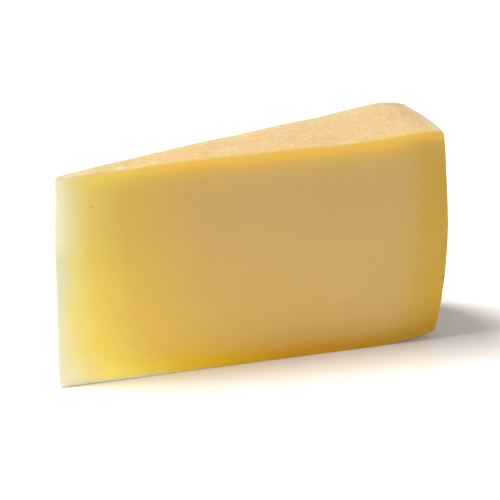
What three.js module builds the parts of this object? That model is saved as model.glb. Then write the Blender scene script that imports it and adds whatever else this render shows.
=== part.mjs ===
// A wedge of pressed mountain cheese, cut from a small wheel by two straight cuts that meet near
// the wheel's middle. Millimetres, +Z up: +X runs from the tip to the rind side, +Y across it.
import * as THREE from "three";
import { mergeVertices } from "three/addons/utils/BufferGeometryUtils.js";

// The wheel
const wheelHeight = 85;
const bulgeHeight = 41; // where the rind side stands out furthest
const upperLean = 2.7; // how far the rind side draws in from there up to the shoulder
const lowerLean = 5.4; // and down to the foot
const footLift = 3.5; // the underside rolls up by this much where it meets the rind side
const footRoll = 32; // length over which it rolls up
const footRound = 1.7;
const underHollow = 0.09; // the underside stands on its cut edges and is this hollow between them
const shoulderRound = 2.3;

// The wedge
const wedgeLength = 153.5; // from the tip to the widest part of the rind side, at the near cut
const farLonger = 5.8; // the far cut is longer, since the cuts miss the wheel's middle a little
const wedgeAngle = THREE.MathUtils.degToRad(15.4);
const tipWidth = 1.4;
const tipNose = 0.45; // how far the blunt tip rounds out
const tipCorner = 2.4; // rounding of the tip at the top and at the floor

// Unevenness of the rind and of the tip
const rimRise = 1.3; // low ridge in the rind just inside the shoulder, at the near cut
const rimInset = 11.5; // from the widest part of the rind side
const rimSpread = 11;
const farDrop = 4.6; // the shoulder sinks by this much on its way to the far cut
const farDropReach = 17; // over this length of the top
const wornDip = 1.4; // wear of the top's near edge towards the tip
const wornReach = 64;
const crossFall = 0.35; // the top falls by this much from the near cut to the far cut
const topWaves = [
  { height: 0.27, length: 140, slant: 0, start: -0.1 },
  { height: 0.13, length: 38, slant: -0.3, start: -0.15 },
  { height: 0.05, length: 14, slant: 1.1, start: 0.2 },
];
const sideWaves = [
  { height: 0.12, length: 38, slant: 0.6, start: 0.35 },
  { height: 0.05, length: 15, slant: -0.9, start: 0.1 },
];
const topFrom = 0.9; // the top's relief fades out down to this share of the height
const sideFrom = 0.8; // the rind side's fades out in to this share of the length
const tipUpTo = 0.04; // and the tip's along to this share of it
const tipDent = { depth: 0.55, height: 75, spread: 4.5 };
const tipBulge = { depth: -0.35, height: 58, spread: 13 };

// Fineness of the mesh
const turnSteps = 14;
const topSteps = 54;
const sideSteps = 20;
const tipSteps = 22;
const rollSteps = 9;
const cornerSteps = 6;

// The virtual point where the two cut planes meet lies this far ahead of the blunt tip.
const apexLead = tipWidth / 2 / Math.sin(wedgeAngle / 2);

function sideReach(height) {
  const above = Math.max(0, height - bulgeHeight) / (wheelHeight - bulgeHeight);
  const below = Math.max(0, bulgeHeight - height) / bulgeHeight;
  return wedgeLength - upperLean * above ** 2 - lowerLean * below ** 2;
}

function underHeight(reach) {
  const rolled = (reach - (sideReach(footLift) - footRoll)) / footRoll;
  return footLift * Math.max(0, rolled) ** 3;
}

// Points of a function of one number, both ends included.
function sweep(from, to, steps, pointAt) {
  return Array.from({ length: steps + 1 }, (_, i) =>
    pointAt(THREE.MathUtils.lerp(from, to, i / steps)),
  );
}

function roundCorner(from, corner, to) {
  return new THREE.QuadraticBezierCurve(from, corner, to).getPoints(cornerSteps);
}

// The upright section from the tip (x = 0) to the rind side, anticlockwise from the tip's foot.
function sectionShape() {
  const point = (x, y) => new THREE.Vector2(x, y);
  const footCorner = point(sideReach(footLift), footLift);
  const shoulderCorner = point(sideReach(wheelHeight), wheelHeight);
  const rollStart = footCorner.x - footRoll;
  const underside = sweep(rollStart, footCorner.x - footRound, rollSteps, (reach) =>
    point(reach, underHeight(reach)),
  );
  const footOfTip = point(tipCorner, 0);
  const side = sweep(
    footLift + footRound,
    wheelHeight - shoulderRound,
    sideSteps,
    (height) => point(sideReach(height), height),
  );
  const top = sweep(shoulderCorner.x - shoulderRound, tipCorner, topSteps, (reach) =>
    point(reach, wheelHeight),
  );
  const tip = sweep(wheelHeight - tipCorner, tipCorner, tipSteps, (height) =>
    point(0, height),
  );
  const pieces = [
    roundCorner(tip.at(-1), point(0, 0), footOfTip),
    [footOfTip, underside[0]],
    underside,
    roundCorner(underside.at(-1), footCorner, side[0]),
    side,
    roundCorner(side.at(-1), shoulderCorner, top[0]),
    top,
    roundCorner(top.at(-1), point(0, wheelHeight), tip[0]),
    tip,
  ];
  // Each piece starts where the last one ends, so its last point is left to the next.
  return new THREE.Shape(pieces.flatMap((piece) => piece.slice(0, -1)));
}

function bump(distance, spread) {
  return Math.exp(-((distance / spread) ** 2));
}

// side runs from -1 at the near cut to 1 at the far cut.
function waveHeight(waves, along, side) {
  return waves.reduce((sum, { height, length, slant, start }) => {
    const phase = 2 * Math.PI * (along / length + (slant * side) / 2 + start);
    return sum + height * Math.sin(phase);
  }, 0);
}

function topRelief(reach, side) {
  const nearness = (1 - side) / 2;
  const rim = rimRise * bump(reach - (wedgeLength - rimInset), rimSpread);
  const worn = wornDip * Math.max(0, 1 - reach / wornReach) ** 2;
  const outward = Math.max(0, reach - (wedgeLength - farDropReach)) / farDropReach;
  const sunk = farDrop * outward ** 2 + crossFall;
  const fixedRelief = nearness * (rim - worn) - (1 - nearness) * sunk;
  return fixedRelief + waveHeight(topWaves, reach, side);
}

function tipRelief(height, side) {
  const dent = tipDent.depth * bump(height - tipDent.height, tipDent.spread);
  const bulge = tipBulge.depth * bump(height - tipBulge.height, tipBulge.spread);
  return dent + bulge - tipNose * (1 - side ** 2);
}

// One point of the section, turned about the apex to its place in the wedge.
function placePoint(reach, height, side) {
  const { smoothstep } = THREE.MathUtils;
  const topness = smoothstep(height, wheelHeight * topFrom, wheelHeight);
  const lowness = 1 - smoothstep(height, 0, footLift);
  const sideness = smoothstep(reach, wedgeLength * sideFrom, wedgeLength);
  const tipness = 1 - smoothstep(reach, 0, wedgeLength * tipUpTo);
  const longer = (farLonger * (1 + side)) / 2 + waveHeight(sideWaves, height, side);
  const radius = apexLead + reach + tipness * tipRelief(height, side) + sideness * longer;
  const turn = (side * wedgeAngle) / 2;
  const raised = topness * topRelief(reach, side) + lowness * underHollow * (1 - side ** 2);
  return [radius * Math.cos(turn), radius * Math.sin(turn), height + raised];
}

function wedgeGeometry() {
  const slab = new THREE.ExtrudeGeometry(sectionShape(), {
    depth: 1,
    steps: turnSteps,
    bevelEnabled: false,
  });
  slab.deleteAttribute("normal");
  slab.deleteAttribute("uv");
  const wedge = mergeVertices(slab);
  const points = wedge.getAttribute("position");
  for (let i = 0; i < points.count; i++) {
    const side = 1 - 2 * points.getZ(i);
    points.setXYZ(i, ...placePoint(points.getX(i), points.getY(i), side));
  }
  wedge.computeBoundingBox();
  const middle = wedge.boundingBox.getCenter(new THREE.Vector3());
  wedge.translate(-middle.x, -middle.y, -wedge.boundingBox.min.z);
  wedge.computeVertexNormals();
  return wedge;
}

const paste = new THREE.MeshStandardMaterial({
  color: 0xdcb56a,
  roughness: 0.45,
  metalness: 0,
});

const cheese = new THREE.Group();
const wedge = new THREE.Mesh(wedgeGeometry(), paste);
wedge.name = "cheese_wedge";
cheese.add(wedge);

export default cheese;
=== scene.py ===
import math

import bmesh
import bpy
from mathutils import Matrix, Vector
from mathutils.bvhtree import BVHTree


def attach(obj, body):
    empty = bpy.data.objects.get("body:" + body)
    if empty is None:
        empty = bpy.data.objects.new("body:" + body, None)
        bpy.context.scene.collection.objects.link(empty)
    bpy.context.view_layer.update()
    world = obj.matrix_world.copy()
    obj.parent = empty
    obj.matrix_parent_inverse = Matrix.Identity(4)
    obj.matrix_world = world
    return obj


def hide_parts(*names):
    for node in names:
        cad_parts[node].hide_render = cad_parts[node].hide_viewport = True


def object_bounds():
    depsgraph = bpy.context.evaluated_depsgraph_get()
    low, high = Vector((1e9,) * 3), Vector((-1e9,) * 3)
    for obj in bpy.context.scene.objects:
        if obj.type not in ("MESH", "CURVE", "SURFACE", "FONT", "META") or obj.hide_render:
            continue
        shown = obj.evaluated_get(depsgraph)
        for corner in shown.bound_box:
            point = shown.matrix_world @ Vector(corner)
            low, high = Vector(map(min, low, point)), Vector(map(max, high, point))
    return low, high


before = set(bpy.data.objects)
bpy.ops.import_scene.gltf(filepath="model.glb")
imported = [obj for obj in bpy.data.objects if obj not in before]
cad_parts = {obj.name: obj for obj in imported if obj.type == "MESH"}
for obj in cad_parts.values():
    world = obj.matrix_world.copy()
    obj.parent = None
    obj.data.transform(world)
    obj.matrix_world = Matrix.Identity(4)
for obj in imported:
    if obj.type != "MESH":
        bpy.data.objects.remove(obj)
cadLow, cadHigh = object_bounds()
mm = 0.001
nearly = 0.01  # numbers this close count as the same
print("frame loaded")


def startEditing(kind="VERT"):
    bpy.ops.object.mode_set(mode="EDIT")
    bpy.ops.mesh.select_mode(type=kind)


def stopEditing():
    bpy.ops.object.mode_set(mode="OBJECT")


def pick(piece, parts, test):
    # selects the vertices, edges or faces that pass the test, and nothing else
    bpy.ops.mesh.select_all(action="DESELECT")
    shape = bmesh.from_edit_mesh(piece.data)
    shape.faces.ensure_lookup_table()
    for part in getattr(shape, parts):
        if test(part):
            part.select_set(True)
    shape.select_flush_mode()
    bmesh.update_edit_mesh(piece.data)


def shift(move):
    bpy.ops.transform.translate(value=move)


def cutInTwo(piece, place, normal):
    bpy.ops.mesh.select_all(action="SELECT")
    bpy.ops.mesh.bisect(plane_co=place, plane_no=normal)


def smoothStep(value, low, high):
    share = min(1.0, max(0.0, (value - low) / (high - low)))
    return share * share * (3 - 2 * share)


studio = {
    "turn": -25.12,  # degrees round the wedge from its near cut
    "rise": 22.80,
    "distance": 1.3,
    "target": (0.348 * mm, 0.0, 41.44 * mm),
    "lightTarget": (0.0, 0.0, 40 * mm),
    "sensor": 36,
    "focalPixels": 3441.6,
    "picturePixels": 500,
    "floorSize": 6.0,
    "floorTone": (0.96, 0.94, 0.915),
    "floorGloss": 0.18,
    "skyStrength": 0.33,
    "skyTint": (1.0, 0.955, 0.905),
    "keyTurn": 36.5,  # degrees from straight off the tip towards the far cut
    "keyRise": 46.5,
    "keyDistance": 1.8,
    "keySize": (1.5, 2.3),
    "keyPower": 112.0,
    "fillPlace": (0.15, -1.7, 0.31),
    "fillSize": (1.6, 0.5),
    "fillPower": 22.0,
}


def aimAt(thing, place, target):
    thing.location = place
    thing.rotation_euler = (Vector(place) - Vector(target)).to_track_quat("Z", "Y").to_euler()


def addCamera():
    turn, rise = math.radians(studio["turn"]), math.radians(studio["rise"])
    back = Vector(
        (math.sin(turn) * math.cos(rise), -math.cos(turn) * math.cos(rise), math.sin(rise))
    )
    lens = bpy.data.cameras.new("camera")
    lens.sensor_width = studio["sensor"]
    lens.lens = studio["sensor"] * studio["focalPixels"] / studio["picturePixels"]
    camera = bpy.data.objects.new("camera", lens)
    bpy.context.scene.collection.objects.link(camera)
    target = Vector(studio["target"])
    aimAt(camera, target + back * studio["distance"], target)
    bpy.context.scene.camera = camera


def addSoftbox(name, place, width, height, power):
    box = bpy.data.lights.new(name, "AREA")
    box.shape = "ELLIPSE"
    box.size, box.size_y = width, height
    box.energy = power
    light = bpy.data.objects.new(name, box)
    light.visible_camera = False
    bpy.context.scene.collection.objects.link(light)
    aimAt(light, place, studio["lightTarget"])


addCamera()
keyTurn, keyRise = math.radians(studio["keyTurn"]), math.radians(studio["keyRise"])
keyPlace = Vector(
    (-math.cos(keyTurn) * math.cos(keyRise), math.sin(keyTurn) * math.cos(keyRise),
     math.sin(keyRise))
) * studio["keyDistance"]
addSoftbox("keyLight", keyPlace, *studio["keySize"], studio["keyPower"])
addSoftbox("fillLight", studio["fillPlace"], *studio["fillSize"], studio["fillPower"])

sky = bpy.data.worlds.new("paleRoom")
sky.use_nodes = True
sky.node_tree.nodes["Background"].inputs["Color"].default_value = (*studio["skyTint"], 1)
sky.node_tree.nodes["Background"].inputs["Strength"].default_value = studio["skyStrength"]
bpy.context.scene.world = sky
bpy.context.scene.view_settings.view_transform = "Standard"
print("camera and lights placed")


class Wire:
    # a socket that carries a number, so that sums on it add their Math nodes

    def __init__(self, finish, socket):
        self.finish = finish
        self.socket = socket

    def __add__(self, other):
        return self.finish.maths("ADD", self, other)

    __radd__ = __add__

    def __sub__(self, other):
        return self.finish.maths("SUBTRACT", self, other)

    def __rsub__(self, other):
        return self.finish.maths("SUBTRACT", other, self)

    def __mul__(self, other):
        return self.finish.maths("MULTIPLY", self, other)

    __rmul__ = __mul__

    def __truediv__(self, other):
        return self.finish.maths("DIVIDE", self, other)

    def __rtruediv__(self, other):
        return self.finish.maths("DIVIDE", other, self)


class Finish:
    def __init__(self, name):
        self.material = bpy.data.materials.new(name)
        self.material.use_nodes = True
        self.tree = self.material.node_tree
        self.shader = self.tree.nodes["Principled BSDF"]
        self.place = self.node("ShaderNodeTexCoord", output="Object")

    def node(self, kind, settings=(), inputs=(), output=0):
        made = self.tree.nodes.new(kind)
        for name, value in dict(settings).items():
            if name == "stops":
                self.setStops(made.color_ramp, value)
            else:
                setattr(made, name, value)
        for name, value in dict(inputs).items():
            self.feed(made.inputs[name], value)
        return Wire(self, made.outputs[output])

    def setStops(self, ramp, stops):
        while len(ramp.elements) < len(stops):
            ramp.elements.new(0.5)
        for element, (position, colour) in zip(ramp.elements, stops):
            element.position = position
            element.color = (*colour, 1)

    def feed(self, socket, value):
        if isinstance(value, Wire):
            self.tree.links.new(value.socket, socket)
        else:
            socket.default_value = value

    def maths(self, operation, first, second=0.0):
        return self.node("ShaderNodeMath", {"operation": operation}, {0: first, 1: second})

    def absolute(self, value):
        return self.maths("ABSOLUTE", value)

    def fade(self, value, start, end):
        # 0 before start, 1 after end, smooth between; start may be the larger
        return self.node(
            "ShaderNodeMapRange",
            {"interpolation_type": "SMOOTHSTEP"},
            {"Value": value, "From Min": start, "From Max": end},
        )

    def decay(self, value, start, length):
        # 1 up to start, then dies away over the length
        beyond = self.maths("MAXIMUM", value - start, 0.0)
        return self.maths("EXPONENT", beyond * (-1.0 / length))

    def blend(self, below, above, amount, mode="MIX"):
        return self.node(
            "ShaderNodeMix",
            {"data_type": "RGBA", "blend_type": mode},
            {0: amount, 6: self.paint(below), 7: self.paint(above)},
            output=2,
        )

    def paint(self, colour):
        return colour if isinstance(colour, Wire) else (*colour, 1)

    def ramp(self, value, length, stops):
        # colours by place along a length
        shares = [(place / length, colour) for place, colour in stops]
        return self.node(
            "ShaderNodeValToRGB", {"stops": shares}, {"Fac": value / length}, "Color"
        )

    def noise(self, size, detail=2.0, rough=0.5, stretch=(1, 1, 1), turn=(0, 0, 0)):
        # size of one lump in millimetres
        place = self.node(
            "ShaderNodeMapping", {}, {"Vector": self.place, "Scale": stretch, "Rotation": turn}
        )
        return self.node(
            "ShaderNodeTexNoise",
            {},
            {"Vector": place, "Scale": 1 / (size * mm), "Detail": detail, "Roughness": rough},
        )

    def part(self, axis):
        # one coordinate of the object's own, in metres
        return self.node("ShaderNodeSeparateXYZ", {}, {0: self.place}, axis)

    def attribute(self, name):
        return self.node("ShaderNodeAttribute", {"attribute_name": name}, output="Fac")

    def bump(self, height, depth):
        # depth in millimetres for a height from 0 to 1
        made = self.node("ShaderNodeBump", {}, {"Height": height, "Distance": depth * mm})
        self.feed(self.shader.inputs["Normal"], made)

    def dress(self, values):
        for name, value in values.items():
            self.feed(self.shader.inputs[name], value)


def tint(red, green, blue):
    # screen colour, 0 to 255, as linear light
    def linear(level):
        level /= 255
        return level / 12.92 if level <= 0.04045 else ((level + 0.055) / 1.055) ** 2.4

    return (linear(red), linear(green), linear(blue))


# In the looks below places and sizes are in millimetres and leans are what leanOf gives. A pair
# is where a tone begins and where it is full, but a band's pair is how wide it is and the length
# over which it dies away.
paste = {
    # from the tip inwards: the cream, pale and yellow near the tip are painted glow of light
    # shining through the thin tip, the golden, tan and heart further in are the paste's own
    # tones
    "cream": tint(187, 188, 159),
    "pale": tint(197, 183, 105),
    "yellow": tint(193, 168, 67),
    "golden": tint(184, 151, 60),
    "tan": tint(175, 142, 74),
    "heart": tint(174, 143, 79),
    "inward": (
        (0, "cream"), (6, "pale"), (15, "yellow"), (30, "golden"), (60, "tan"), (95, "heart"),
    ),
    "inwardLength": 100,
    "inwardAtFoot": 0.76,  # the yellow reaches further in along the foot than higher up
    "inwardByHeight": 0.0057,
    "cloudSize": 26,  # soft clouds make the tones' borders drift
    "cloudDrift": 10.0,
    "farCutLean": (0.08, 0.13),
    "farCutShift": 16.0,  # the far cut is yellow this much nearer to the tip, so it takes less of the painted glow
    # under the rind of the top: partly the paste's own deeper tone, partly painted glow of light
    # coming in through the top edge
    "underRind": tint(207, 164, 50),
    "underRindAtTip": tint(203, 179, 64),
    "underRindReach": (8.0, 45.0),
    "topBand": (2.6, 3.2),
    "topBandReach": (1.0, 12.0),
    "topBandDrift": 1.5,
    "crust": tint(203, 175, 99),
    "crustAtTip": tint(207, 202, 175),
    "crustReach": (2.0, 16.0),
    "crustBand": (0.2, 0.9),
    "crustAmount": 0.6,
    "farLine": tint(118, 104, 72),  # the far cut's thin dark edge under the top
    "farLineBand": (0.3, 0.4),
    "farLineLean": (0.0, 0.01),
    "farLineAmount": 0.8,
    # at the rind side
    "sideTone": tint(169, 135, 41),
    "sideWidth": (22.0, 3.0),
    "sideDrift": 4.0,
    "sideUnderTop": 0.75,  # how much of it gives way to the band under the top
    "rindLine": tint(151, 127, 82),
    "rindLineWidth": (0.9, 0.3),
    "rindLineAmount": 0.6,
    # along the foot: partly the paste's own deeper tone near the rind, partly painted shade and
    # missing sheen low on the face, and its pale tones at the tip end are painted glow
    "footAtTip": tint(196, 191, 168),
    "footPale": tint(223, 202, 87),
    "footGold": tint(203, 164, 7),
    "footDeep": tint(173, 123, 0),
    "footBrown": tint(154, 116, 18),
    "foot": (
        (0, "footAtTip"), (21, "footPale"), (48, "footGold"), (90, "footDeep"),
        (142.5, "footBrown"),
    ),
    "footLength": 150,
    "footBand": (3.0, 5.0),
    "footBandDrift": 1.5,
    # the pale line at the very foot near the tip is painted light over the contact shade there
    "paleFootBand": (0.3, 0.8),
    "paleFootReach": (65.0, 20.0),
    "paleFootAmount": 0.75,
    # on the tip: a painted highlight, a cream spot where its dent catches the light, and a
    # painted shade low down
    "highlightTone": tint(207, 206, 169),
    "highlightMiddle": 70.0,
    "highlightHalfHeight": (23.0, 6.0),
    "highlightBand": (2.0, 4.0),
    "highlightDrift": (3.0, 8.0),  # inwards and upwards
    "shadeTone": tint(158, 165, 158),
    "shadeHeight": (34.0, 12.0),
    "shadeReach": (15.0, 3.0),
    "shadeAmount": 0.2,
    # tone by height, as more light falls on the upper part
    "evening": (
        (0, (0.97, 0.97, 0.97)),
        (11.9, (0.98, 0.98, 1.0)),
        (20.4, (0.965, 0.965, 0.965)),
        (34, (0.90, 0.90, 0.91)),
        (59.5, (0.81, 0.81, 0.87)),
        (85, (0.775, 0.775, 0.83)),
    ),
    # how it takes the light
    "rough": 0.42,
    "roughPatch": 7,
    "roughVaries": 0.10,
    "linesGloss": 0.2,  # the knife's lines are smoother by this much
    "waveSize": 9,
    "waveStretch": (0.35, 0.35, 1),
    "linesHeight": 0.5,
    "bumpDepth": 0.08,
    "body": {
        "Specular IOR Level": 0.2,
        "Subsurface Weight": 0.25,
        "Subsurface Radius": (1.0, 0.55, 0.22),
        "Subsurface Scale": 4 * mm,
    },
}

knifeLines = {
    "tone": tint(184, 158, 104),
    "uprightSize": 1.5,
    "uprightStretch": (1, 1, 0.03),
    "uprightShows": (0.50, 0.75),  # where in the noise a line shows
    "uprightAmount": 0.06,
    "single": ((48.8, 0.9), (60.8, 0.7), (88.4, 0.9)),  # reach and half width
    "singleCore": 0.2,
    "singleDrift": 0.8,
    "singleAmount": 0.10,
    "levelSize": 2.2,
    "levelStretch": (0.05, 0.05, 1),
    "levelTurn": (0, math.radians(5), 0),
    "levelShows": (0.50, 0.70),
    "levelUpper": (42.0, 30.0),  # they lie between these heights
    "levelLower": (12.0, 20.0),
    "levelReach": (75.0, 95.0),
    "levelAmount": 0.15,
    "patchSize": 18,
    "patchShows": (0.40, 0.60),
}

nickShade = {  # painted shade of a small nick: one dark spot on the edge between the near cut and the rind side
    "tone": tint(92, 84, 46),
    "middle": 25.6,
    "halfHeight": (0.9, 0.4),
    "width": (1.1, 0.3),
    "lean": (0.0, -0.05),
    "amount": 0.8,
}

rind = {
    "peach": tint(164, 138, 98),
    "warm": tint(163, 128, 85),
    "warmShows": (0.45, 0.70),
    "warmAmount": 0.5,
    "atTip": tint(148, 140, 92),
    "atTipReach": (55.0, 12.0),
    # towards the cuts
    "farEdge": tint(162, 149, 113),
    "farEdgeLean": (0.04, 0.13),
    "farEdgeAmount": 0.6,
    "edge": tint(166, 141, 68),
    "edgeLean": (0.04, 0.10),
    "edgeReach": (28.0, 6.0),
    "edgeBand": (0.4, 2.0),
    "edgeAmount": 0.9,
    # round the shoulder and at the tip
    "rim": tint(165, 160, 136),
    "rimAtTip": (3.0, 0.6),
    "rimWidth": (5.5, 1.2),
    "rimHeight": (62.0, 80.0),
    "rimAmount": 0.8,
    # mottling
    "pale": tint(177, 154, 114),
    "speck": tint(148, 121, 85),
    "bloom": tint(174, 166, 144),
    "noises": {  # size, detail, roughness
        "patches": (8, 4.0, 0.60),
        "grain": (1.5, 3.0, 0.65),
        "specks": (0.6, 2.0, 0.50),
        "blooms": (11, 3.0, 0.55),
    },
    "mottling": (  # tint, its noise, where in the noise it shows, amount
        ("pale", "grain", (0.50, 0.60), 0.5),
        ("warm", "grain", (0.48, 0.40), 0.4),
        ("speck", "specks", (0.54, 0.68), 0.4),
        ("bloom", "blooms", (0.58, 0.70), 0.35),
    ),
    # how it takes the light
    "rough": 0.62,
    "grainHeight": 0.45,
    "patchHeight": 0.40,
    "speckHeight": 0.15,
    "bumpDepth": 0.35,
    "body": {
        "Specular IOR Level": 0.3,
        "Subsurface Weight": 0.2,
        "Subsurface Radius": (1.0, 0.55, 0.25),
        "Subsurface Scale": 3 * mm,
    },
}


def leanOf(finish):
    # how far a place leans to the far cut, as a share of its distance from the apex
    return (finish.part("Y") - wedgeApex.y) / (finish.part("X") - wedgeApex.x)


def reachOf(finish):
    # how far a place lies from the tip, in millimetres
    return finish.part("X") / mm - cadLow.x / mm


def tonesOf(look, name):
    # a ramp's stops, with the tints that they name
    return [(place, look[tone]) for place, tone in look[name]]


def addNickShade(finish, colour, fromEdge):
    # the nick's shade is painted as one dark spot
    off = finish.absolute(finish.part("Z") / mm - nickShade["middle"])
    spot = finish.fade(fromEdge, *nickShade["width"]) * finish.fade(off, *nickShade["halfHeight"])
    spot = spot * finish.fade(leanOf(finish), *nickShade["lean"])
    return finish.blend(colour, nickShade["tone"], spot * nickShade["amount"])


def findKnifeLines(finish, along, height, cloudy):
    # faint lines that the knife left: some upright, some nearly along the foot
    upright = finish.noise(knifeLines["uprightSize"], stretch=knifeLines["uprightStretch"])
    lines = finish.fade(upright, *knifeLines["uprightShows"]) * knifeLines["uprightAmount"]
    for reach, halfWidth in knifeLines["single"]:
        off = finish.absolute(along - reach + cloudy * knifeLines["singleDrift"])
        single = finish.fade(off, halfWidth, knifeLines["singleCore"])
        lines = lines + single * knifeLines["singleAmount"]
    level = finish.noise(
        knifeLines["levelSize"],
        stretch=knifeLines["levelStretch"],
        turn=knifeLines["levelTurn"],
    )
    level = finish.fade(level, *knifeLines["levelShows"])
    level = level * finish.fade(height, *knifeLines["levelUpper"])
    level = level * finish.fade(height, *knifeLines["levelLower"])
    level = level * finish.fade(along, *knifeLines["levelReach"])
    patchy = finish.fade(finish.noise(knifeLines["patchSize"]), *knifeLines["patchShows"])
    return (lines + level * knifeLines["levelAmount"]) * patchy


def makePaste():
    finish = Finish("cheesePaste")
    farCut = finish.fade(leanOf(finish), *paste["farCutLean"])
    along = reachOf(finish) + farCut * paste["farCutShift"]
    height = finish.part("Z") / mm
    underTop = finish.attribute("underTop")
    fromSide = finish.attribute("fromSide")
    aboveFoot = finish.attribute("aboveFoot")
    cloudy = finish.noise(paste["cloudSize"], detail=3.0) - 0.5

    # from the tip inwards, with painted glow of light through the thin tip in the paler tones
    # near it
    inward = along * (paste["inwardAtFoot"] + height * paste["inwardByHeight"])
    inward = inward + cloudy * paste["cloudDrift"]
    colour = finish.ramp(inward, paste["inwardLength"], tonesOf(paste, "inward"))

    # the bands under the top, at the rind side and along the foot
    # the band under the top: partly the paste's own tone, partly painted glow of light through
    # the top edge
    topTone = finish.blend(
        paste["underRindAtTip"],
        paste["underRind"],
        finish.fade(along, *paste["underRindReach"]),
    )
    topBand = finish.decay(underTop + cloudy * paste["topBandDrift"], *paste["topBand"])
    topAmount = topBand * finish.fade(along, *paste["topBandReach"])
    colour = finish.blend(colour, topTone, topAmount)
    sideBand = finish.fade(fromSide + cloudy * paste["sideDrift"], *paste["sideWidth"])
    sideAmount = sideBand * (1.0 - topBand * paste["sideUnderTop"])
    colour = finish.blend(colour, paste["sideTone"], sideAmount)
    # the foot band: partly the paste's own deeper tone, partly painted shade low on the face,
    # with painted glow in its pale tip end
    footTone = finish.ramp(along, paste["footLength"], tonesOf(paste, "foot"))
    footBand = finish.decay(aboveFoot + cloudy * paste["footBandDrift"], *paste["footBand"])
    colour = finish.blend(colour, footTone, footBand)

    # the painted highlight, a cream spot, and the painted shade on the tip
    inDrift, upDrift = paste["highlightDrift"]
    highlightOff = finish.absolute(height - paste["highlightMiddle"] + cloudy * upDrift)
    spot = finish.decay(along + cloudy * inDrift, *paste["highlightBand"])
    spot = spot * finish.fade(highlightOff, *paste["highlightHalfHeight"])
    colour = finish.blend(colour, paste["highlightTone"], spot)
    shade = finish.fade(height, *paste["shadeHeight"]) * finish.fade(along, *paste["shadeReach"])
    colour = finish.blend(colour, paste["shadeTone"], shade * paste["shadeAmount"])

    # thin lines where the paste meets the rind
    crustTone = finish.blend(
        paste["crustAtTip"], paste["crust"], finish.fade(along, *paste["crustReach"])
    )
    crust = finish.decay(underTop, *paste["crustBand"])
    colour = finish.blend(colour, crustTone, crust * paste["crustAmount"])
    farLine = finish.decay(underTop, *paste["farLineBand"])
    farLine = farLine * finish.fade(leanOf(finish), *paste["farLineLean"])
    colour = finish.blend(colour, paste["farLine"], farLine * paste["farLineAmount"])
    # a pale line along the foot near the tip: painted light that lifts the contact shade
    paleFoot = finish.decay(aboveFoot, *paste["paleFootBand"])
    paleFoot = paleFoot * finish.fade(along, *paste["paleFootReach"])
    colour = finish.blend(colour, paste["crustAtTip"], paleFoot * paste["paleFootAmount"])

    lines = findKnifeLines(finish, along, height, cloudy)
    colour = finish.blend(colour, knifeLines["tone"], lines)
    evening = finish.ramp(height, wedge["height"], paste["evening"])
    colour = finish.blend(colour, evening, 1.0, "MULTIPLY")
    rindLine = finish.fade(fromSide, *paste["rindLineWidth"])
    colour = finish.blend(colour, paste["rindLine"], rindLine * paste["rindLineAmount"])
    colour = addNickShade(finish, colour, fromSide)

    rough = paste["rough"] + finish.noise(paste["roughPatch"], detail=3.0) * paste["roughVaries"]
    rough = rough - lines * paste["linesGloss"]
    finish.dress({"Base Color": colour, "Roughness": rough, **paste["body"]})
    waviness = finish.noise(paste["waveSize"], stretch=paste["waveStretch"])
    finish.bump(waviness + lines * paste["linesHeight"], paste["bumpDepth"])
    return finish.material


def makeRind():
    finish = Finish("cheeseRind")
    along = reachOf(finish)
    height = finish.part("Z") / mm
    fromCut = finish.attribute("fromCut")
    fromSide = finish.attribute("fromSide")
    lean = leanOf(finish)
    noises = {name: finish.noise(*settings) for name, settings in rind["noises"].items()}

    warmth = finish.fade(noises["patches"], *rind["warmShows"])
    colour = finish.blend(rind["peach"], rind["warm"], warmth * rind["warmAmount"])
    colour = finish.blend(colour, rind["atTip"], finish.fade(along, *rind["atTipReach"]))

    # towards the cuts
    farEdge = finish.fade(lean, *rind["farEdgeLean"])
    colour = finish.blend(colour, rind["farEdge"], farEdge * rind["farEdgeAmount"])
    edgeTone = finish.blend(
        rind["edge"], rind["farEdge"], finish.fade(lean, *rind["edgeLean"])
    )
    edgeTone = finish.blend(edgeTone, rind["farEdge"], finish.fade(along, *rind["edgeReach"]))
    edge = finish.decay(fromCut, *rind["edgeBand"])
    colour = finish.blend(colour, edgeTone, edge * rind["edgeAmount"])

    # at the tip and round the shoulder
    rimAtTip = finish.fade(along, *rind["rimAtTip"])
    colour = finish.blend(colour, rind["rim"], rimAtTip * rind["rimAmount"])
    rim = finish.fade(fromSide, *rind["rimWidth"]) * finish.fade(height, *rind["rimHeight"])
    colour = finish.blend(colour, rind["rim"], rim * rind["rimAmount"])

    for tone, noise, shows, amount in rind["mottling"]:
        mottle = finish.fade(noises[noise], *shows)
        colour = finish.blend(colour, rind[tone], mottle * amount)
    colour = addNickShade(finish, colour, fromCut)

    finish.dress({"Base Color": colour, "Roughness": rind["rough"], **rind["body"]})
    finish.bump(
        noises["grain"] * rind["grainHeight"]
        + noises["patches"] * rind["patchHeight"]
        + noises["specks"] * rind["speckHeight"],
        rind["bumpDepth"],
    )
    return finish.material


def makeFloor():
    finish = Finish("paleFloor")
    finish.dress(
        {"Base Color": (*studio["floorTone"], 1), "Roughness": studio["floorGloss"]}
    )
    return finish.material


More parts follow.
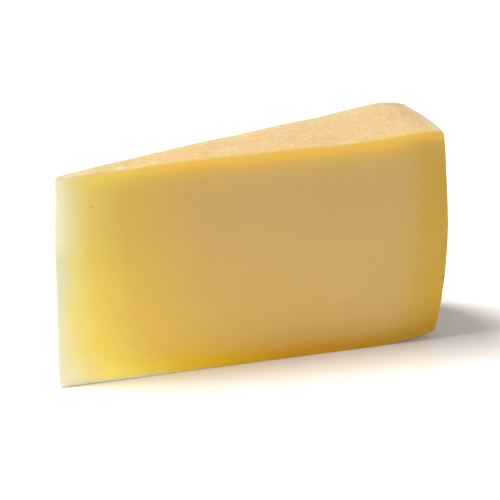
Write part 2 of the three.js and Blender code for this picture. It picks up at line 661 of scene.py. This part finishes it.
wedge = {  # millimetres
    # the wheel's section
    "height": 85.0,
    "length": 153.5,  # tip to the widest part of the rind side, at the near cut
    "bulgeHeight": 41.0,  # where the rind side stands out furthest
    "upperLean": 2.7,  # how far it draws in from there up to the shoulder
    "lowerLean": 5.4,  # and down to the foot
    "footLift": 3.5,  # the underside rolls up by this much
    "footRoll": 32.0,  # over this length
    # the cuts
    "angle": math.radians(15.4),
    "farLonger": 5.8,  # the far cut is this much longer
    "apexToTip": 5.22,  # the blunt tip lies this far out from where the cut planes meet
    "noseOut": 0.80,  # and its furthest point stands this much ahead of it
    # the cage
    "spinSteps": 8,
    "columns": (3.6, 9, 16, 24, 32, 40, 48, 56, 64, 72, 80, 88, 96, 104, 112, 120, 127, 133,
                138.5, 143, 146.7, 150.05),
    "rows": (3.6, 12, 24, 36, 48, 60, 70, 77, 81.5),
    "rowRise": (1.0, 0.7, 0.3),  # share of the foot's roll that the lowest rows take
    "edgeLoop": 0.9,  # loops this far from the cut edges, which round them
    "edgeLoopMost": 0.22,  # but no more than this share of the width
    "leastRise": 0.001,  # smaller moves of the cage are left out
    "leastMove": 0.005,
    "fineLevels": 3,
    # which faces are which
    "cutFacing": 0.985,  # the cuts' normals have at least this much of Y
    "cutTilt": 0.05,  # and at most this much of Z
    "tipDepth": 0.6,  # the tip's faces lie within this of where the tip was cut blunt
    "tipFacing": -0.5,  # and their normals have this much of X at most
    "upFacing": 0.5,  # the top's and the foot's have at least this much of Z
    "outFacing": 0.6,  # the rind side's at least this much of X
    # unevenness of the top, the rind side, the underside and the tip
    "rimRise": 1.3,  # a low ridge inside the shoulder, at the near cut
    "rimInset": 11.5,
    "rimSpread": 11.0,
    "farDrop": 4.6,  # the shoulder sinks by this much on its way to the far cut
    "farDropReach": 17.0,
    "wornDip": 1.4,  # the top's near edge is worn towards the tip
    "wornReach": 64.0,
    "crossFall": 0.35,  # the top falls by this much from the near cut to the far cut
    "topWaves": (  # height, length, slant, start
        (0.27, 140, 0.0, -0.1), (0.13, 38, -0.3, -0.15),
    ),
    "sideWaves": ((0.12, 38, 0.6, 0.35),),
    "topFrom": 0.9,  # the top's relief fades out down to this share of the height
    "sideFrom": 0.8,  # the rind side's fades out in to this share of the length
    "tipUpTo": 0.04,  # and the tip's along to this share of it
    "tipNose": 0.45,  # how far the blunt tip rounds out
    "tipDent": (0.55, 75.0, 4.5),  # depth, height, spread
    "tipBulge": (-0.35, 58.0, 13.0),
    "underHollow": 0.09,
    "lumps": (  # material's group, size of a lump, depth
        ("rind", 7.0, 0.22), ("rind", 2.6, 0.10), ("paste", 22.0, 0.08),
    ),
    # pinholes in the near cut
    "pits": (  # reach, height, side, radius, depth
        (13.5, 71.7, -1, 0.30, 0.5),
        (18.5, 62.4, -1, 0.22, 0.4),
        (140.7, 66.8, -1, 0.25, 0.4),
        (116.4, 66.5, -1, 0.22, 0.35),
    ),
    "pitSegments": 3,
    "pitRings": ((0.25, 0.8), (0.30, 0.2)),  # inset in radii, share of the depth
}

halfAngle = wedge["angle"] / 2
wedgeApex = Vector(
    (
        cadLow.x - (wedge["apexToTip"] - wedge["noseOut"]) * mm,
        cadLow.y + (wedge["apexToTip"] + wedge["length"]) * math.sin(halfAngle) * mm,
        0,
    )
)


def sideReach(height):
    above = max(0, height - wedge["bulgeHeight"]) / (wedge["height"] - wedge["bulgeHeight"])
    below = max(0, wedge["bulgeHeight"] - height) / wedge["bulgeHeight"]
    return wedge["length"] - wedge["upperLean"] * above**2 - wedge["lowerLean"] * below**2


def underHeight(reach):
    rolled = (reach - (sideReach(wedge["footLift"]) - wedge["footRoll"])) / wedge["footRoll"]
    return wedge["footLift"] * max(0, rolled) ** 3


def bell(distance, spread):
    return math.exp(-((distance / spread) ** 2))


def waves(rows, along, side):
    return sum(
        height * math.sin(2 * math.pi * (along / length + slant * side / 2 + start))
        for height, length, slant, start in rows
    )


def topRelief(reach, side):
    nearness = (1 - side) / 2
    rim = wedge["rimRise"] * bell(
        reach - (wedge["length"] - wedge["rimInset"]), wedge["rimSpread"]
    )
    worn = wedge["wornDip"] * max(0, 1 - reach / wedge["wornReach"]) ** 2
    outward = max(0, reach - (wedge["length"] - wedge["farDropReach"]))
    sunk = wedge["farDrop"] * (outward / wedge["farDropReach"]) ** 2 + wedge["crossFall"]
    return (
        nearness * (rim - worn)
        - (1 - nearness) * sunk
        + waves(wedge["topWaves"], reach, side)
    )


def tipRelief(height, side):
    dentDepth, dentHeight, dentSpread = wedge["tipDent"]
    bulgeDepth, bulgeHeight, bulgeSpread = wedge["tipBulge"]
    return (
        dentDepth * bell(height - dentHeight, dentSpread)
        + bulgeDepth * bell(height - bulgeHeight, bulgeSpread)
        - wedge["tipNose"] * (1 - side**2)
    )


def shapedPlace(place):
    # where a point of the plain wedge goes, with the apex at the origin, in millimetres
    reach = math.hypot(place.x, place.y) - wedge["apexToTip"]
    side = math.atan2(place.y, place.x) / halfAngle
    height = place.z
    # the outermost inner loops run along the cuts, at one distance from them
    width = 2 * (reach + wedge["apexToTip"]) * halfAngle
    outermost = 1 - 2 / wedge["spinSteps"]
    if abs(side) < outermost + nearly:
        inset = min(wedge["edgeLoop"] / width, wedge["edgeLoopMost"])
        side *= (1 - 2 * inset) / outermost
    topness = smoothStep(height, wedge["height"] * wedge["topFrom"], wedge["height"])
    sideness = smoothStep(reach, wedge["length"] * wedge["sideFrom"], wedge["length"])
    tipness = 1 - smoothStep(reach, 0, wedge["length"] * wedge["tipUpTo"])
    lowness = 1 - smoothStep(height, 0, wedge["footLift"])
    longer = wedge["farLonger"] * (1 + side) / 2 + waves(wedge["sideWaves"], height, side)
    radius = (
        wedge["apexToTip"] + reach + tipness * tipRelief(height, side) + sideness * longer
    )
    raised = topness * topRelief(reach, side) + lowness * wedge["underHollow"] * (1 - side**2)
    turn = side * halfAngle
    return Vector((radius * math.cos(turn), radius * math.sin(turn), height + raised))


def makeSection():
    # the wheel's upright section as a flat sheet, tip on the left, at the near cut
    length, height, lead = wedge["length"], wedge["height"], wedge["apexToTip"]
    bpy.ops.object.select_all(action="DESELECT")
    bpy.ops.mesh.primitive_plane_add(size=1)
    piece = bpy.context.object
    piece.name = piece.data.name = "cheeseWedge"
    startEditing()
    bpy.ops.transform.rotate(value=math.pi / 2, orient_axis="X", center_override=(0, 0, 0))
    bpy.ops.transform.resize(value=(length, 1, height), center_override=(0, 0, 0))
    shift((lead + length / 2, 0, height / 2))
    for reach in wedge["columns"]:
        cutInTwo(piece, (lead + reach, 0, 0), (1, 0, 0))
    for row in wedge["rows"]:
        cutInTwo(piece, (0, 0, row), (0, 0, 1))
    # each row is as long as the rind side's bulge lets it be
    lowRows = dict(zip((0, *wedge["rows"]), wedge["rowRise"]))
    for row in (0, *wedge["rows"], height):
        atSide = row + lowRows.get(row, 0) * wedge["footLift"]
        pick(piece, "verts", lambda vert: abs(vert.co.z - row) < nearly)
        bpy.ops.transform.resize(
            value=(sideReach(atSide) / length, 1, 1), center_override=(lead, 0, row)
        )
    # the underside rolls up towards the rind side
    for row, share in lowRows.items():
        for reach in (*wedge["columns"], length):
            scaled = reach * sideReach(row + share * wedge["footLift"]) / length
            rise = share * underHeight(scaled)
            if rise < wedge["leastRise"]:
                continue
            pick(
                piece,
                "verts",
                lambda vert: abs(vert.co.z - row) < nearly
                and abs(vert.co.x - lead - scaled) < nearly,
            )
            shift((0, 0, rise))
    return piece


def isCut(face):
    # the two cut faces are the flat ones that stand along the wedge
    square = abs(face.normal.y) > wedge["cutFacing"]
    return square and abs(face.normal.z) < wedge["cutTilt"]


def isTip(face):
    centre = face.calc_center_median()
    depth = math.hypot(centre.x, centre.y) - wedge["apexToTip"]
    return depth < wedge["tipDepth"] and face.normal.x < wedge["tipFacing"]


def smoothWith(piece, kind, **settings):
    modifier = piece.modifiers.new(kind.lower(), kind)
    for name, value in settings.items():
        setattr(modifier, name, value)
    bpy.ops.object.modifier_apply(modifier=modifier.name)


def roughen(piece, group, size, depth):
    # displaces the vertices of a group by soft lumps, sizes in millimetres
    lumps = bpy.data.textures.new(group + "Lumps", "CLOUDS")
    lumps.noise_scale = size
    lumps.noise_depth = 1
    smoothWith(
        piece, "DISPLACE", texture=lumps, texture_coords="LOCAL", strength=depth,
        mid_level=0.5, vertex_group=group,
    )


def makeGroup(piece, name, slot):
    # a vertex group of all the faces that wear one material
    startEditing("FACE")
    bpy.ops.mesh.select_all(action="DESELECT")
    piece.active_material_index = slot
    bpy.ops.object.material_slot_select()
    piece.vertex_groups.new(name=name)
    bpy.ops.object.vertex_group_assign()
    stopEditing()


def makePit(piece, reach, height, side, radius, depth):
    # a round pinhole in a cut face: a bevelled vertex, inset and pushed in
    turn = math.copysign(halfAngle, side)
    middle = Vector(
        ((wedge["apexToTip"] + reach) * math.cos(turn),
         (wedge["apexToTip"] + reach) * math.sin(turn), height)
    )
    startEditing("VERT")
    shape = bmesh.from_edit_mesh(piece.data)
    nearest = min(shape.verts, key=lambda vert: (vert.co - middle).length).index
    pick(piece, "verts", lambda vert: vert.index == nearest)
    bpy.ops.mesh.bevel(offset=radius, segments=wedge["pitSegments"], affect="VERTICES")
    bpy.ops.mesh.select_mode(type="FACE")
    inward = Vector((math.sin(halfAngle), -math.copysign(math.cos(halfAngle), side), 0))
    for inset, share in wedge["pitRings"]:
        bpy.ops.mesh.inset(thickness=radius * inset)
        shift(inward * depth * share)


def measureFrom(piece, name, faces):
    # stores each vertex's distance from some of the faces, in millimetres
    mesh = piece.data
    surface = BVHTree.FromPolygons(
        [vert.co for vert in mesh.vertices], [list(face.vertices) for face in faces]
    )
    distances = [surface.find_nearest(vert.co)[3] for vert in mesh.vertices]
    mesh.attributes.new(name, "FLOAT", "POINT").data.foreach_set("value", distances)


def makeWedge():
    piece = makeSection()
    bpy.ops.mesh.select_all(action="SELECT")
    bpy.ops.transform.rotate(value=halfAngle, orient_axis="Z", center_override=(0, 0, 0))
    bpy.ops.mesh.spin(
        steps=wedge["spinSteps"], angle=wedge["angle"], center=(0, 0, 0), axis=(0, 0, -1)
    )
    bpy.ops.mesh.select_all(action="SELECT")
    bpy.ops.mesh.remove_doubles(threshold=nearly)
    bpy.ops.mesh.normals_make_consistent(inside=False)

    # the tip is too narrow for all its loops, so its inner ones are merged
    outermost = halfAngle * (1 - 2 / wedge["spinSteps"])
    for row in (0, *wedge["rows"], wedge["height"]):
        pick(
            piece,
            "verts",
            lambda vert: abs(math.hypot(vert.co.x, vert.co.y) - wedge["apexToTip"]) < nearly
            and abs(vert.co.z - row) < nearly
            and abs(math.atan2(vert.co.y, vert.co.x)) < outermost - nearly,
        )
        bpy.ops.mesh.merge(type="CENTER")
    print("section spun")

    # the unevenness, point by point on the coarse cage
    shape = bmesh.from_edit_mesh(piece.data)
    shape.verts.index_update()
    moves = [shapedPlace(vert.co) - vert.co for vert in shape.verts]
    for index, move in enumerate(moves):
        if move.length > wedge["leastMove"]:
            pick(piece, "verts", lambda vert: vert.index == index)
            shift(move)
    print("cage shaped")

    # the cuts and the tip bare the paste, all else is rind
    stopEditing()
    piece.data.materials.append(makePaste())
    piece.data.materials.append(makeRind())
    startEditing("FACE")
    pick(piece, "faces", lambda face: not isCut(face) and not isTip(face))
    piece.active_material_index = 1
    bpy.ops.object.material_slot_assign()
    pick(piece, "faces", isCut)
    bpy.ops.mesh.inset(thickness=wedge["edgeLoop"])
    stopEditing()
    smoothWith(
        piece, "SUBSURF", levels=wedge["fineLevels"], render_levels=wedge["fineLevels"]
    )
    makeGroup(piece, "paste", 0)
    makeGroup(piece, "rind", 1)
    for group, size, depth in wedge["lumps"]:
        roughen(piece, group, size, depth)
    for pit in wedge["pits"]:
        makePit(piece, *pit)
    stopEditing()
    print("surface refined")

    # the finishes read how far a place lies from the top, the rind side, the foot and the cuts
    pasteFaces = [face for face in piece.data.polygons if face.material_index == 0]
    rindFaces = [face for face in piece.data.polygons if face.material_index == 1]
    up, out = wedge["upFacing"], wedge["outFacing"]
    zones = {
        "underTop": [face for face in rindFaces if face.normal.z > up],
        "fromSide": [face for face in rindFaces if face.normal.x > out],
        "aboveFoot": [face for face in rindFaces if face.normal.z < -up],
        "fromCut": pasteFaces,
    }
    for name, faces in zones.items():
        measureFrom(piece, name, faces)

    # into the frame, in metres
    startEditing("VERT")
    bpy.ops.mesh.select_all(action="SELECT")
    bpy.ops.transform.resize(value=(mm, mm, mm), center_override=(0, 0, 0))
    shift(wedgeApex)
    stopEditing()
    bpy.ops.object.shade_smooth()
    return piece


cheese = makeWedge()
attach(cheese, "root")
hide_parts("cheese_wedge")
print("wedge made:", len(cheese.data.polygons), "faces")

bpy.ops.object.select_all(action="DESELECT")
bpy.ops.mesh.primitive_plane_add(size=studio["floorSize"])
floor = bpy.context.object
floor.name = "floor"
floor.data.materials.append(makeFloor())
